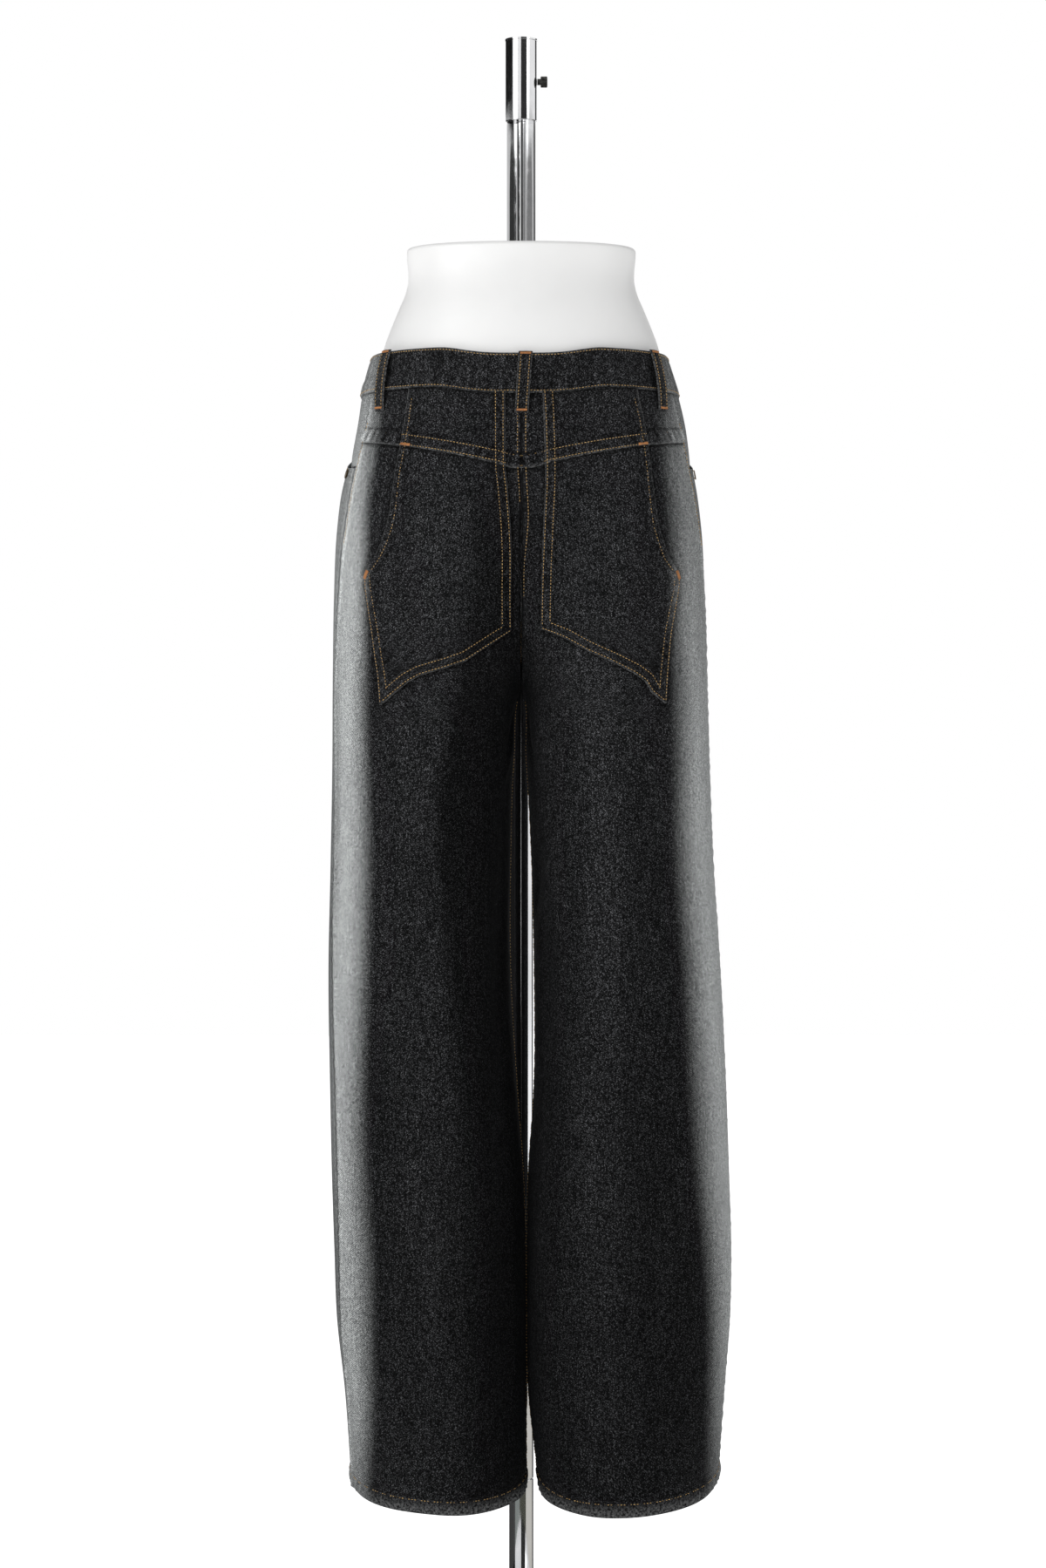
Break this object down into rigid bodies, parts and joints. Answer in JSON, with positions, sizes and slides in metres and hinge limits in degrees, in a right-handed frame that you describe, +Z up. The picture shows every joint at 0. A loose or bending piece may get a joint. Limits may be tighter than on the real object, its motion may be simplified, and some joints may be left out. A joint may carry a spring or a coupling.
{
  "type": "wide-leg jeans on a hip form with its pole stand",
  "caption": "Wide-leg denim jeans with curved yokes and large slanted back pockets, worn by a smooth hip form that hangs from a chrome pole on a round base.",
  "frame": {"origin": "centre of the base plate's underside", "axes": "+Z up, +X to the wearer's right, -Y to the garment's back, which the picture shows, and +Y to its front"},
  "size_m": [0.42, 0.42, 1.5202],
  "materials": {
    "denim": "washed black denim",
    "chrome": "polished",
    "form_white": "satin white",
    "dark_brass": "aged dark"
  },
  "bodies": {
    "root": {"back_left": "denim", "back_right": "denim", "yoke_left": "denim", "yoke_right": "denim", "front_left": "denim", "front_right": "denim", "hip_facing_left": "denim", "hip_facing_right": "denim", "waistband": "denim", "pocket_left": "denim", "pocket_right": "denim", "pocket_upper_left": "denim", "pocket_upper_right": "denim", "belt_loop_centre_back": "denim", "belt_loop_back_left": "denim", "belt_loop_back_right": "denim", "belt_loop_front_left": "denim", "belt_loop_front_right": "denim", "waist_button": "dark_brass", "rivet_side_left": "dark_brass", "rivet_side_right": "dark_brass", "rivet_front_left": "dark_brass", "rivet_front_right": "dark_brass", "hip_form": "form_white", "form_collar": "chrome", "hanging_rod": "chrome", "sleeve": "chrome", "thumb_screw": "chrome", "arm": "chrome", "pole_upper": "chrome", "pole_middle": "chrome", "pole_lower": "chrome", "base_plate": "chrome"}
  },
  "joints": []
}
